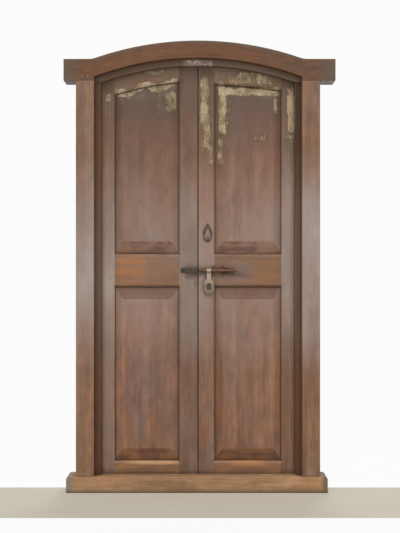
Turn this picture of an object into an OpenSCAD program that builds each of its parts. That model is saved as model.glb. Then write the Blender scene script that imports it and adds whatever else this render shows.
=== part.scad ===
// Arched double door of old timber with its frame: two panelled leaves, hinges, front bolt and lock.
// Origin: middle of the doorway, underside of the sill, half-way through the frame.
// +X to the right seen from outside, +Y into the house, +Z up; lengths in millimetres.

/* [Frame] */
// Width over the outer sides of the jambs
frame_w = 1222; // [1000:2:1500]
// Depth of jambs, head and sill from front to back
frame_depth = 110; // [100:1:150]
// Width of a jamb's front face
jamb_face = 90; // [70:1:130]
// Length of a jamb between sill and head
jamb_h = 1980; // [1700:1:2300]
// Depth of the step in front of the stop
front_step = 38; // [20:1:60]
// Width of the stop that the leaves close against
stop_w = 31; // [22:1:45]
// Height of the sill at the front
sill_h = 81; // [60:1:120]
// Depth of the step at the back of the sill
sill_step = 18; // [10:1:30]
// How far the sill stands in front of the jambs
sill_proud = 3; // [0:1:15]
// Length of the sill past the left jamb
sill_left_horn = 49; // [0:1:120]
// Length of the sill past the right jamb
sill_right_horn = 38; // [0:1:120]
// Rounding of the sill's upper end corners
sill_round = 16; // [4:1:30]

/* [Arched head] */
// Radius of the head's visible lower edge
arch_r = 1485; // [1200:5:2200]
// Width of the arched band
head_band = 85; // [60:1:120]
// Height of the straight horns of the head
horn_h = 109; // [95:1:130]
// Length of the head past the left jamb
left_horn = 62; // [20:1:150]
// Length of the head past the right jamb
right_horn = 77; // [20:1:150]
// Radius of the hollow where arch and horn meet
horn_hollow = 120; // [60:5:200]

/* [Leaves] */
// Thickness of a leaf
leaf_t = 40; // [34:1:50]
// How far a leaf laps behind the stop
stop_lap = 17; // [10:1:22]
// Clearance between a leaf's edge and the frame
edge_gap = 4; // [3:0.5:6]
// Clearance between the two leaves at the back
meeting_gap = 0.6; // [0.6:0.1:3]
// How far each meeting edge is planed back at the front
meeting_bevel = 2.4; // [2.2:0.1:4]
// Clearance between leaf and stop
stop_gap = 1; // [1:0.5:3]
// Clearance between leaf and sill
sill_gap = 4; // [3:0.5:8]
// Width of the hanging stiles
hanging_w = 85; // [75:1:120]
// Width of the left leaf's meeting stile
left_meeting_w = 96; // [92:1:120]
// Width of the right leaf's meeting stile
right_meeting_w = 84; // [78:1:110]
// Height of the bottom rails
bottom_rail_h = 78; // [70:1:160]
// Height of the lock rails' lower edge above the floor
lock_rail_z = 1030; // [850:1:1150]
// Height of the lock rails
lock_rail_h = 165; // [140:1:220]
// Height of the left top rail at the meeting edge
left_top_rail_h = 91; // [85:1:130]
// Radius of the left upper panel's top
left_panel_r = 1380; // [1200:5:2500]
// Height of the right top rail at the meeting edge
right_top_rail_h = 104; // [85:1:130]
// Radius of the right upper panel's top
right_panel_r = 2790; // [2000:10:3600]

/* [Panels] */
// Thickness of a panel's tongue
tongue_t = 11; // [8:1:14]
// Distance from a leaf's front to the tongues
tongue_set = 17; // [14:1:20]
// Depth of the panel grooves
groove_d = 12; // [8:1:15]
// Room left for a panel to swell in its groove
swell_gap = 2; // [0.5:0.5:4]
// Distance from a leaf's front to the raised fields
field_set = 2; // [0:0.5:6]
// Width of the bevels at a panel's sides
bevel_side = 38; // [20:1:55]
// Width of the bevels at a panel's top and bottom
bevel_end = 58; // [30:1:75]
// Width of the chamfer round a panel opening
chamfer_w = 10; // [4:1:14]
// Depth of the chamfer round a panel opening
chamfer_d = 8; // [3:1:12]

/* [Joints] */
// Thickness of the leaf tenons
tenon_t = 13; // [9:1:16]
// Length of the leaf tenons
tenon_len = 48; // [35:1:50]
// Shoulder above and below a leaf tenon
tenon_shoulder = 16; // [14:1:20]
// Radius of the leaf pegs
peg_r = 5; // [3:0.5:7]
// Thickness of the frame tenons
frame_tenon_t = 36; // [25:1:45]
// Width of the frame tenons
frame_tenon_w = 56; // [35:1:60]
// Length of the frame tenons
frame_tenon_len = 42; // [30:1:50]
// Radius of the frame pegs
frame_peg_r = 6; // [4:0.5:8]
// Clearance in the wooden joints
joint_gap = 0.3; // [0.1:0.1:0.6]

/* [Hinges] */
// Height of a hinge
hinge_h = 100; // [80:5:140]
// Width of a hinge plate past the knuckle
hinge_plate_w = 36; // [28:1:50]
// Thickness of a hinge plate
hinge_plate_t = 3; // [2:0.5:4]
// Radius of the hinge knuckles
knuckle_r = 6.5; // [5.5:0.5:8]
// Radius of the hinge pins
hinge_pin_r = 3; // [2:0.25:4]
// Distance from a leaf's end to the middle of the nearer hinge
hinge_inset = 215; // [150:5:300]
// Radius of the screws
screw_r = 2.2; // [1.5:0.1:3]
// Length of the screws
screw_len = 28; // [20:1:34]

/* [Front bolt] */
// Height of the bolt above the lock rails' lower edge
bolt_up = 81; // [60:1:100]
// Radius of the bolt rod
bolt_r = 8; // [6:0.5:10]
// Length of the bolt rod
bolt_len = 178; // [172:1:200]
// Distance from the meeting line to the rod's end when drawn back
bolt_x = 6; // [5:0.5:8]
// Distance from the leaf's front to the rod's middle
bolt_stand = 15; // [14:0.5:20]
// Travel of the bolt
bolt_travel = 36; // [20:1:38]
// Distance from the meeting line to the hasp's middle
hasp_x = 55; // [54:1:57]
// Width of the hasp's stem
hasp_stem_w = 22; // [16:1:24]
// Width of the hasp's ring
hasp_ring_w = 52; // [40:1:60]
// Height of the hasp's ring
hasp_ring_h = 76; // [65:1:90]
// Distance from the rod's middle to the hasp's lower end
hasp_drop = 118; // [105:1:140]
// Thickness of the hasp
hasp_t = 5; // [4:0.5:7]
// Length of the keeper's tunnel on the left leaf
keeper_len = 62; // [50:1:70]
// Length of the keeper's plate
keeper_plate_len = 84; // [80:1:90]
// Wall of the ironwork round the rod
tube_wall = 4; // [3:0.5:5]

/* [Keyhole and lock] */
// Height of the keyhole above the lock rails' upper edge
key_up = 103; // [95:1:125]
// Distance from the right leaf's edge to the keyhole
key_backset = 48; // [44:1:54]
// Width of the keyhole plate
key_plate_w = 47; // [36:1:48]
// Height of the keyhole plate
key_plate_h = 97; // [84:1:105]
// Thickness of keyhole plate and cover
key_plate_t = 2.5; // [2:0.5:4]
// Width of the lock case
lock_w = 76; // [72:1:80]
// Height of the lock case
lock_h = 134; // [124:1:150]
// Depth of the lock case
lock_d = 26; // [24:1:34]
// Wall of the lock case
lock_wall = 2.5; // [2:0.5:3.5]
// Travel of the lock bolt
lock_travel = 15; // [10:1:16]

/* [Hidden] */
$fn = 48;
arc_fn = 720;
run_over = 40;
spring_reach = 60;
past = 2;
slide_gap = 0.3;
run_gap = 0.06;

front = -frame_depth / 2;
back = frame_depth / 2;
face_half = frame_w / 2 - jamb_face;
clear_half = face_half - stop_w;
rebate_half = clear_half + stop_lap + edge_gap;
stop_front = front + front_step;
leaf_back = back;
leaf_front = leaf_back - leaf_t;
stop_back = leaf_front - stop_gap;
head_z = sill_h + jamb_h;
stop_r = arch_r - stop_w;
rebate_r = stop_r + stop_lap + edge_gap;
leaf_r = stop_r + stop_lap;
arch_z = head_z - sqrt(stop_r * stop_r - clear_half * clear_half);
crown_r = arch_r + head_band;
crown_z = arch_z + crown_r;
horn_z = head_z + horn_h;
hollow_z = horn_z + horn_hollow;
hollow_x = sqrt(pow(crown_r + horn_hollow, 2) - pow(hollow_z - arch_z, 2));
hollow_trim = 4;
hollow_meet_x = hollow_x * crown_r / (crown_r + horn_hollow);
hollow_meet_z = arch_z + (hollow_z - arch_z) * crown_r / (crown_r + horn_hollow);

leaf_x0 = meeting_gap / 2;
leaf_x1 = clear_half + stop_lap;
leaf_z0 = sill_h - sill_step + sill_gap;
leaf_crown = arch_z + leaf_r;
leaf_mid = (leaf_front + leaf_back) / 2;
hanging_x = leaf_x1 - hanging_w;
bottom_rail_z = leaf_z0 + bottom_rail_h;
lock_rail_top = lock_rail_z + lock_rail_h;
tongue_front = leaf_front + tongue_set;
tongue_back = tongue_front + tongue_t;
field_front = leaf_front + field_set;

function meeting_x(s) = leaf_x0 + (s < 0 ? left_meeting_w : right_meeting_w);
function panel_r(s) = s < 0 ? left_panel_r : right_panel_r;
function panel_z(s) = leaf_crown - (s < 0 ? left_top_rail_h : right_top_rail_h) - panel_r(s);
function arc_z(z, r, x) = z + sqrt(r * r - x * x);

tenon_mid_x = (face_half + frame_w / 2) / 2;
frame_peg_dx = frame_tenon_w / 4;
frame_peg_up = frame_tenon_len / 2;
mortise_spare = 2;
rail_peg_share = 0.25;

knuckles = 5;
knuckle_gap = 0.5;
knuckle_h = hinge_h / knuckles;
knuckle_stand = 0.4;
hinge_x = (leaf_x1 + rebate_half) / 2;
hinge_y = back + knuckle_r + knuckle_stand;
plate_clear = 0.6;
plate_x = knuckle_r + plate_clear;
leaf_top_z = arc_z(arch_z, leaf_r, leaf_x1);
hinge_low = leaf_z0 + hinge_inset - hinge_h / 2;
hinge_high = leaf_top_z - hinge_inset - hinge_h / 2;
hinge_zs = [hinge_low, (hinge_low + hinge_high) / 2, hinge_high];
pin_head_lip = 1.6;
pin_head_r = hinge_pin_r + pin_head_lip;
pin_head_h = 4;
screw_head_r = screw_r * 1.9;
screw_head_h = screw_r * 0.9;
screw_spots = [[0.28, 0.14], [0.66, 0.38], [0.28, 0.62], [0.66, 0.86]];

bolt_z = lock_rail_z + bolt_up;
bolt_y = leaf_front - bolt_stand;
tube_r = bolt_r + tube_wall;
collar_lip = 3;
collar_r = bolt_r + collar_lip;
collar_w = 3;
hasp_lip = 0.5;
hasp_half = hasp_stem_w / 2 + hasp_lip;
collar_gap = 0.4;
guide_w = 12;
guide_room = 3;
guide_inset = 26;
guide_xs = [
  hasp_x + hasp_half + collar_gap + collar_w + guide_w / 2 + guide_room,
  bolt_x + bolt_len - bolt_travel - guide_inset
];
guide_foot = 13;
guide_t = 3;
knob_w = 8;
knob_lip = 2.5;
knob_r = bolt_r + knob_lip;
keeper_inset = 4;
keeper_x = leaf_x0 + keeper_inset;
keeper_room = 1;
keeper_floor = 3;
hasp_slot_w = 20;
hasp_slot_h = 36;
hasp_slot_drop = 2;
hasp_neck = 8;
nail_r = 1.6;
nail_len = 24;
nail_head_r = 3.4;
nail_head_h = 1.6;
guide_nail_z = tube_r + guide_foot * 0.55;
guide_nails = [for (x = guide_xs, u = [-1, 1]) [x, bolt_z + u * guide_nail_z]];
keeper_nail_x = keeper_x + (keeper_len + keeper_plate_len) / 2;
keeper_nail_dz = 6;
keeper_nails = [for (u = [-1, 1]) [keeper_nail_x, bolt_z + u * keeper_nail_dz]];

key_x = leaf_x0 + key_backset;
key_z = lock_rail_top + key_up;
key_plate_r = key_plate_w / 2;
key_plate_drop = 21;
key_plate_low = key_z - key_plate_drop;
key_tip = key_plate_h - key_plate_r;
key_r = 5;
key_slot_w = 6;
key_slot_h = 17;
key_room = 1.5;
cover_gap = 0.3;
cover_margin = 6.5;
cover_r = key_plate_r - cover_margin;
cover_eye_r = 8;
cover_drop = 13;
cover_low = key_z - cover_drop;
cover_pivot_up = 31;
cover_pivot_z = key_z + cover_pivot_up;
cover_y1 = leaf_front - key_plate_t - cover_gap;
cover_y0 = cover_y1 - key_plate_t;
cover_boss_r = 10;
cover_boss_h = 2;
rivet_r = 3;
rivet_head_r = 5.5;
rivet_head_h = 2.5;
rivet_len = 14;
rivet_room = 1;
plate_pin_r = 1.5;
plate_pin_len = 16;
plate_pin_low = 3;
plate_pin_high = 7;
plate_pins = [
  [key_x, key_plate_low - key_plate_r + plate_pin_low],
  [key_x, key_plate_low + key_tip - plate_pin_high]
];

lock_inset = 3;
lock_x0 = leaf_x0 + lock_inset;
lock_x1 = lock_x0 + lock_w;
lock_drop = 50;
lock_z0 = key_z - lock_drop;
lock_z1 = lock_z0 + lock_h;
bolt_bar_h = 16;
bolt_bar_t = 10;
bolt_bar_up = 36;
bolt_bar_z = key_z + bolt_bar_up;
bolt_bar_y = leaf_back + lock_d / 2;
bolt_bar_set = 0.5;
bolt_bar_x0 = lock_x0 + bolt_bar_set;
bolt_bar_end = 2;
bolt_bar_x1 = lock_x1 - lock_wall - bolt_bar_end;
rib_room = 6;
rib_x = bolt_bar_x1 - lock_travel - rib_room;
rib_t = 3;
spring_r = 62;
spring_t = 1.2;
spring_w = 8;
spring_fn = 96;
spring_touch = 0.1;
spring_tail = 18;
spring_in = 30;
spring_x = lock_x0 + spring_in;
spring_lug_in = 7;
spring_lug_x = lock_x1 - lock_wall - spring_lug_in;
spring_lug_w = 6;
spring_lug_up = 12;
lock_screw_side = 14;
lock_screw_end = 8;
lock_screw_sink = 6;
lock_screws = [for (x = [lock_x0 + lock_screw_side, lock_x1 - lock_screw_side],
                    z = [lock_z0 + lock_screw_end, lock_z1 - lock_screw_end]) [x, z]];
strike_inset = 3;
strike_x0 = leaf_x0 + strike_inset;
strike_w = 34;
strike_h = 30;
strike_wall = 3;
strike_foot = 15;
strike_screw_dz = (strike_h + strike_foot) / 2;
strike_screws = [for (u = [-1, 1]) [strike_x0 + strike_w / 2, bolt_bar_z + u * strike_screw_dz]];

oak = [0.52, 0.38, 0.28];
dark_oak = [0.42, 0.29, 0.20];
iron = [0.22, 0.20, 0.19];
worn_iron = [0.52, 0.49, 0.45];

// Draws a shape of the XZ plane as a slab between two depths
module slab(y0, y1)
  translate([0, y1, 0]) rotate([90, 0, 0]) linear_extrude(y1 - y0) children();

// Turns a right-hand piece into a left-hand one where s is -1
module on_side(s) {
  if (s < 0) mirror([1, 0, 0]) children();
  else children();
}

module box(x0, x1, y0, y1, z0, z1) translate([x0, y0, z0]) cube([x1 - x0, y1 - y0, z1 - z0]);

module rod_y(x, z, y0, y1, r) translate([x, y0, z]) rotate([-90, 0, 0]) cylinder(r = r, h = y1 - y0);

module rod_x(x0, x1, y, z, r) translate([x0, y, z]) rotate([0, 90, 0]) cylinder(r = r, h = x1 - x0);

// Doorway outline of a given half width under an arch of a given radius
module doorway(half, r) intersection() {
  translate([0, arch_z]) circle(r = r, $fn = arc_fn);
  translate([-half, -past]) square([2 * half, crown_z]);
}

module corner_cut(r) difference() {
  square(r + past);
  circle(r = r);
}

module head_outline() {
  translate([-frame_w / 2 - left_horn, head_z]) square([frame_w + left_horn + right_horn, horn_h]);
  intersection() {
    translate([0, arch_z]) circle(r = crown_r, $fn = arc_fn);
    translate([-hollow_x, head_z]) square([2 * hollow_x, crown_z]);
  }
  for (m = [0, 1]) mirror([m, 0]) difference() {
    polygon([[hollow_meet_x + hollow_trim, horn_z - past], [hollow_x - hollow_trim, horn_z - past],
             [hollow_x - hollow_trim, horn_z + past], [hollow_meet_x + hollow_trim, hollow_meet_z]]);
    translate([hollow_x, hollow_z]) circle(r = horn_hollow, $fn = arc_fn);
  }
}

module frame_tenon(s, z0, z1, gap)
  box(s * tenon_mid_x - frame_tenon_w / 2 - gap, s * tenon_mid_x + frame_tenon_w / 2 + gap,
      -frame_tenon_t / 2 - gap, frame_tenon_t / 2 + gap, z0, z1);

module frame_peg_set(s, r) for (u = [-1, 1]) {
  rod_y(s * tenon_mid_x + u * frame_peg_dx, head_z + frame_peg_up, front, back, r);
  rod_y(s * tenon_mid_x + u * frame_peg_dx, sill_h - frame_peg_up, front - sill_proud, back, r);
}

module frame_pegs() color(dark_oak) for (s = [-1, 1]) frame_peg_set(s, frame_peg_r);

module head() color(dark_oak) difference() {
  slab(front, back) head_outline();
  slab(front - past, stop_front) doorway(face_half, arch_r);
  slab(front - past, back + past) doorway(rebate_half, stop_r);
  slab(stop_back, back + past) doorway(rebate_half, rebate_r);
  for (s = [-1, 1]) {
    frame_tenon(s, head_z - past, head_z + frame_tenon_len + mortise_spare, joint_gap);
    frame_peg_set(s, frame_peg_r + run_gap);
  }
}

module sill() color(oak) difference() {
  slab(front - sill_proud, back) difference() {
    translate([-frame_w / 2 - sill_left_horn, 0])
      square([frame_w + sill_left_horn + sill_right_horn, sill_h]);
    translate([frame_w / 2 + sill_right_horn - sill_round, sill_h - sill_round]) corner_cut(sill_round);
    mirror([1, 0]) translate([frame_w / 2 + sill_left_horn - sill_round, sill_h - sill_round])
      corner_cut(sill_round);
  }
  box(-rebate_half, rebate_half, stop_back, back + past, sill_h - sill_step, sill_h + past);
  for (s = [-1, 1]) {
    frame_tenon(s, sill_h - frame_tenon_len - mortise_spare, sill_h + past, joint_gap);
    frame_peg_set(s, frame_peg_r + run_gap);
  }
}

module jamb(s) color(oak) on_side(s) difference() {
  union() {
    box(clear_half, frame_w / 2, front, back, sill_h, head_z);
    frame_tenon(1, sill_h - frame_tenon_len, head_z + frame_tenon_len, 0);
  }
  box(clear_half - past, face_half, front - past, stop_front, sill_h - past, head_z + past);
  box(clear_half - past, rebate_half, stop_back, back + past, sill_h - past, head_z + past);
  frame_peg_set(1, frame_peg_r + run_gap);
  jamb_screw_set(run_gap);
}
module left_jamb() jamb(-1);
module right_jamb() jamb(1);

// Outline of the right leaf, and of a panel opening grown sideways and endways
module leaf_outline() intersection() {
  translate([leaf_x0, leaf_z0]) square([leaf_x1 - leaf_x0, crown_z]);
  translate([0, arch_z]) circle(r = leaf_r, $fn = arc_fn);
}

module opening(s, upper, grow) {
  x0 = meeting_x(s) - grow;
  w = hanging_x - meeting_x(s) + 2 * grow;
  if (upper) intersection() {
    translate([x0, lock_rail_top - grow]) square([w, crown_z]);
    translate([0, panel_z(s)]) circle(r = panel_r(s) + grow, $fn = arc_fn);
  }
  else translate([x0, bottom_rail_z - grow]) square([w, lock_rail_z - bottom_rail_z + 2 * grow]);
}

// Runs a section round an opening: side and end sections give distance inward and depth
module edge_run(s, upper, side, end) {
  x0 = meeting_x(s);
  z0 = upper ? lock_rail_top : bottom_rail_z;
  z1 = upper ? crown_z : lock_rail_z + run_over;
  w = hanging_x - x0 + 2 * run_over;
  translate([x0, 0, z0 - run_over]) linear_extrude(z1 - z0 + run_over) polygon(side);
  translate([hanging_x, 0, z0 - run_over]) mirror([1, 0, 0])
    linear_extrude(z1 - z0 + run_over) polygon(side);
  translate([hanging_x + run_over, 0, z0]) rotate([0, -90, 0]) linear_extrude(w) polygon(end);
  if (upper) translate([0, 0, panel_z(s)]) rotate([-90, 0, 0])
    rotate_extrude($fn = arc_fn) polygon([for (p = end) [panel_r(s) - p[0], p[1]]]);
  else translate([x0 - run_over, 0, lock_rail_z]) rotate([0, 90, 0]) linear_extrude(w) polygon(end);
}

function bevel_section(w) = [[-groove_d - past, field_front - past], [w, field_front - past],
  [w, field_front], [0, tongue_front], [-groove_d - past, tongue_front]];

function chamfer_section() = [[-chamfer_w * 2, leaf_front - past],
  [-chamfer_w * (1 + past / chamfer_d), leaf_front - past],
  [chamfer_w * past / chamfer_d, leaf_front + chamfer_d + past],
  [-chamfer_w * 2, leaf_front + chamfer_d + past]];

module panel(s, upper) color(oak) on_side(s) difference() {
  slab(field_front, tongue_back) opening(s, upper, groove_d - swell_gap);
  edge_run(s, upper, bevel_section(bevel_side), bevel_section(bevel_end));
}
module left_upper_panel() panel(-1, true);
module left_lower_panel() panel(-1, false);
module right_upper_panel() panel(1, true);
module right_lower_panel() panel(1, false);

// Room cut in stiles and rails for the panels and the chamfers round them
module panel_room(s) for (upper = [true, false]) {
  slab(tongue_front - joint_gap, tongue_back + joint_gap) opening(s, upper, groove_d);
  difference() {
    slab(leaf_front - past, leaf_front + chamfer_d) opening(s, upper, chamfer_w * (1 + past / chamfer_d));
    edge_run(s, upper, chamfer_section(), chamfer_section());
  }
}

function rail_z(s, rail, x) = rail == 0 ? [leaf_z0, bottom_rail_z]
  : rail == 1 ? [lock_rail_z, lock_rail_top]
  : [arc_z(panel_z(s), panel_r(s), x), arc_z(arch_z, leaf_r, x)];

module tenons(s, rail, gap) {
  for (e = [[meeting_x(s) - tenon_len, meeting_x(s) + past], [hanging_x - past, hanging_x + tenon_len]]) {
    z = rail_z(s, rail, e[0] < meeting_x(s) ? meeting_x(s) : hanging_x);
    deep = gap > 0 ? mortise_spare : 0;
    box(e[0] - deep, e[1] + deep, leaf_mid - tenon_t / 2 - gap, leaf_mid + tenon_t / 2 + gap,
        z[0] + tenon_shoulder - gap, z[1] - tenon_shoulder + gap);
  }
}

function peg_zs(z, rail) = rail == 1
  ? [for (u = [rail_peg_share, 1 - rail_peg_share]) z[0] * (1 - u) + z[1] * u]
  : [(z[0] + z[1]) / 2];

module peg_set(s, rail, r)
  for (x = [meeting_x(s) - tenon_len / 2, hanging_x + tenon_len / 2]) {
    shoulder_x = x < meeting_x(s) ? meeting_x(s) : hanging_x;
    for (z = peg_zs(rail_z(s, rail, shoulder_x), rail)) rod_y(x, z, leaf_front, leaf_back, r);
  }

module leaf_pegs(s) color(dark_oak) on_side(s) for (rail = [0:2]) peg_set(s, rail, peg_r);
module left_leaf_pegs() leaf_pegs(-1);
module right_leaf_pegs() leaf_pegs(1);

module stile(s, x0, x1) color(oak) on_side(s) difference() {
  slab(leaf_front, leaf_back) intersection() {
    leaf_outline();
    translate([x0, 0]) square([x1 - x0, crown_z]);
  }
  linear_extrude(crown_z) polygon([[leaf_x0 - past, leaf_front - past],
    [leaf_x0 + meeting_bevel * (1 + past / leaf_t), leaf_front - past], [leaf_x0, leaf_back],
    [leaf_x0 - past, leaf_back]]);
  panel_room(s);
  for (rail = [0:2]) {
    tenons(s, rail, joint_gap);
    peg_set(s, rail, peg_r + run_gap);
  }
  if (x1 == leaf_x1) leaf_screw_set(run_gap);
  else if (s < 0) {
    nails(keeper_nails, guide_t, run_gap);
    strike_screw_set(run_gap);
  }
  else {
    nails(guide_nails, guide_t, run_gap);
    key_cut(key_room, leaf_front - past, leaf_back + past);
    plate_pin_set(run_gap);
    rod_y(key_x, cover_pivot_z, leaf_front - past, leaf_front + rivet_len + rivet_room, rivet_r + run_gap);
    lock_screw_set(run_gap);
  }
}
module left_hanging_stile() stile(-1, hanging_x, leaf_x1);
module left_meeting_stile() stile(-1, leaf_x0, meeting_x(-1));
module right_hanging_stile() stile(1, hanging_x, leaf_x1);
module right_meeting_stile() stile(1, leaf_x0, meeting_x(1));

module rail(s, rail) color(oak) on_side(s) difference() {
  union() {
    slab(leaf_front, leaf_back) difference() {
      intersection() {
        span = rail == 2 ? [lock_rail_top, lock_rail_top + crown_z] : rail_z(s, rail, 0);
        leaf_outline();
        translate([meeting_x(s), span[0]]) square([hanging_x - meeting_x(s), span[1] - span[0]]);
      }
      if (rail == 2) translate([0, panel_z(s)]) circle(r = panel_r(s), $fn = arc_fn);
    }
    tenons(s, rail, 0);
  }
  panel_room(s);
  peg_set(s, rail, peg_r + run_gap);
  if (rail == 1 && s > 0) nails(guide_nails, guide_t, run_gap);
  if (rail == 1 && s < 0) nails(keeper_nails, guide_t, run_gap);
}
module left_top_rail() rail(-1, 2);
module left_lock_rail() rail(-1, 1);
module left_bottom_rail() rail(-1, 0);
module right_top_rail() rail(1, 2);
module right_lock_rail() rail(1, 1);
module right_bottom_rail() rail(1, 0);

// Countersunk wood screw pointing inward along -Y from y
module screw(x, y, z, len, gap) translate([x, y, z]) rotate([90, 0, 0]) {
  cylinder(r1 = screw_head_r + gap, r2 = screw_r + gap, h = screw_head_h);
  cylinder(r = screw_r + gap, h = len + gap);
}

module jamb_screw_set(gap) for (z = hinge_zs, p = screw_spots)
  screw(hinge_x + plate_x + p[0] * hinge_plate_w, back + hinge_plate_t, z + p[1] * hinge_h, screw_len, gap);

module leaf_screw_set(gap) for (z = hinge_zs, p = screw_spots)
  screw(hinge_x - plate_x - p[0] * hinge_plate_w, back + hinge_plate_t, z + p[1] * hinge_h, screw_len, gap);

module left_jamb_screws() color(iron) on_side(-1) jamb_screw_set(0);
module right_jamb_screws() color(iron) on_side(1) jamb_screw_set(0);
module left_leaf_screws() color(iron) on_side(-1) leaf_screw_set(0);
module right_leaf_screws() color(iron) on_side(1) leaf_screw_set(0);

module hinge_plate(s, i, first, u) color(iron) on_side(s) difference() {
  union() {
    box(u > 0 ? hinge_x + plate_x : hinge_x - plate_x - hinge_plate_w,
        u > 0 ? hinge_x + plate_x + hinge_plate_w : hinge_x - plate_x,
        back, back + hinge_plate_t, hinge_zs[i], hinge_zs[i] + hinge_h);
    for (k = [first:2:knuckles - 1]) {
      z0 = hinge_zs[i] + k * knuckle_h + knuckle_gap / 2;
      translate([hinge_x, hinge_y, z0]) cylinder(r = knuckle_r, h = knuckle_h - knuckle_gap);
      box(u > 0 ? hinge_x : hinge_x - plate_x - past, u > 0 ? hinge_x + plate_x + past : hinge_x,
          back + knuckle_stand, back + hinge_plate_t, z0, z0 + knuckle_h - knuckle_gap);
    }
  }
  translate([hinge_x, hinge_y, hinge_zs[i] - past])
    cylinder(r = hinge_pin_r + run_gap, h = hinge_h + 2 * past);
  if (u > 0) jamb_screw_set(run_gap);
  else leaf_screw_set(run_gap);
}
module left_low_jamb_plate() hinge_plate(-1, 0, 0, 1);
module left_mid_jamb_plate() hinge_plate(-1, 1, 0, 1);
module left_high_jamb_plate() hinge_plate(-1, 2, 0, 1);
module right_low_jamb_plate() hinge_plate(1, 0, 0, 1);
module right_mid_jamb_plate() hinge_plate(1, 1, 0, 1);
module right_high_jamb_plate() hinge_plate(1, 2, 0, 1);
module left_low_leaf_plate() hinge_plate(-1, 0, 1, -1);
module left_mid_leaf_plate() hinge_plate(-1, 1, 1, -1);
module left_high_leaf_plate() hinge_plate(-1, 2, 1, -1);
module right_low_leaf_plate() hinge_plate(1, 0, 1, -1);
module right_mid_leaf_plate() hinge_plate(1, 1, 1, -1);
module right_high_leaf_plate() hinge_plate(1, 2, 1, -1);

module hinge_pins(s) color(iron) on_side(s) for (z = hinge_zs) translate([hinge_x, hinge_y, z]) {
  cylinder(r = hinge_pin_r, h = hinge_h);
  translate([0, 0, hinge_h]) cylinder(r = pin_head_r, h = pin_head_h);
}
module left_hinge_pins() hinge_pins(-1);
module right_hinge_pins() hinge_pins(1);

// Nails driven into the leaf's front through iron of thickness t
module nails(points, t, gap) for (p = points) {
  rod_y(p[0], p[1], leaf_front - t - slide_gap, leaf_front - t + nail_len + gap, nail_r + gap);
  rod_y(p[0], p[1], leaf_front - t - nail_head_h, leaf_front - t, nail_head_r);
}
module bolt_guide_nails() color(iron) nails(guide_nails, guide_t, 0);
module bolt_keeper_nails() color(iron) on_side(-1) nails(keeper_nails, guide_t, 0);

module bolt_guide(x) color(iron) difference() {
  union() {
    rod_x(x - guide_w / 2, x + guide_w / 2, bolt_y, bolt_z, tube_r);
    box(x - guide_w / 2, x + guide_w / 2, bolt_y, leaf_front, bolt_z - tube_r, bolt_z + tube_r);
    box(x - guide_w / 2, x + guide_w / 2, leaf_front - guide_t, leaf_front,
        bolt_z - tube_r - guide_foot, bolt_z + tube_r + guide_foot);
  }
  rod_x(x - guide_w, x + guide_w, bolt_y, bolt_z, bolt_r + run_gap);
  for (p = guide_nails)
    rod_y(p[0], p[1], leaf_front - guide_t - past, leaf_front + past, nail_r + run_gap);
}
module inner_bolt_guide() bolt_guide(guide_xs[0]);
module outer_bolt_guide() bolt_guide(guide_xs[1]);

module bolt_rod() color(iron) {
  rod_x(bolt_x, bolt_x + bolt_len, bolt_y, bolt_z, bolt_r);
  rod_x(bolt_x + bolt_len - knob_w, bolt_x + bolt_len, bolt_y, bolt_z, knob_r);
  for (x = [hasp_x - hasp_half - collar_gap - collar_w, hasp_x + hasp_half + collar_gap])
    rod_x(x, x + collar_w, bolt_y, bolt_z, collar_r);
}

// Tall ring with round ends, centred on the hasp
module hasp_oval(w, h) {
  for (u = [-1, 1]) translate([0, u * (h - w) / 2]) circle(d = w);
  translate([-w / 2, -(h - w) / 2]) square([w, h - w]);
}

module bolt_hasp() color(worn_iron) difference() {
  union() {
    rod_x(hasp_x - hasp_half, hasp_x + hasp_half, bolt_y, bolt_z, tube_r);
    slab(bolt_y - hasp_t / 2, bolt_y + hasp_t / 2) {
      translate([hasp_x, bolt_z - hasp_drop + hasp_ring_h / 2]) hasp_oval(hasp_ring_w, hasp_ring_h);
      translate([hasp_x - hasp_stem_w / 2, bolt_z - hasp_drop + hasp_ring_h - hasp_neck])
        square([hasp_stem_w, hasp_drop - hasp_ring_h + hasp_neck]);
    }
  }
  rod_x(hasp_x - hasp_half - past, hasp_x + hasp_half + past, bolt_y, bolt_z, bolt_r + run_gap);
  slab(bolt_y - hasp_t, bolt_y + hasp_t)
    translate([hasp_x, bolt_z - hasp_drop + hasp_ring_h / 2 - hasp_slot_drop])
      hasp_oval(hasp_slot_w, hasp_slot_h);
}

module bolt_keeper() color(iron) on_side(-1) difference() {
  union() {
    box(keeper_x, keeper_x + keeper_len, bolt_y - tube_r, leaf_front, bolt_z - tube_r, bolt_z + tube_r);
    box(keeper_x, keeper_x + keeper_plate_len, leaf_front - guide_t, leaf_front,
        bolt_z - tube_r, bolt_z + tube_r);
  }
  box(keeper_x - past, keeper_x + keeper_len - keeper_floor,
      bolt_y - bolt_r - keeper_room, bolt_y + bolt_r + keeper_room,
      bolt_z - bolt_r - keeper_room, bolt_z + bolt_r + keeper_room);
  for (p = keeper_nails)
    rod_y(p[0], p[1], leaf_front - guide_t - past, leaf_front + past, nail_r + run_gap);
}

// Pear-shaped outline: a round of radius r and a point at height tip above its middle
module pear(r, tip) {
  circle(r = r);
  side = 0.985 * r * sqrt(1 - pow(r / tip, 2));
  polygon([[-side, r * r / tip], [side, r * r / tip], [0, tip]]);
}

module key_cut(grow, y0, y1) {
  rod_y(key_x, key_z, y0, y1, key_r + grow);
  box(key_x - key_slot_w / 2 - grow, key_x + key_slot_w / 2 + grow, y0, y1,
      key_z - key_slot_h - grow, key_z);
}

module plate_pin_set(gap) for (p = plate_pins)
  rod_y(p[0], p[1], leaf_front - key_plate_t, leaf_front + plate_pin_len, plate_pin_r + gap);

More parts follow.
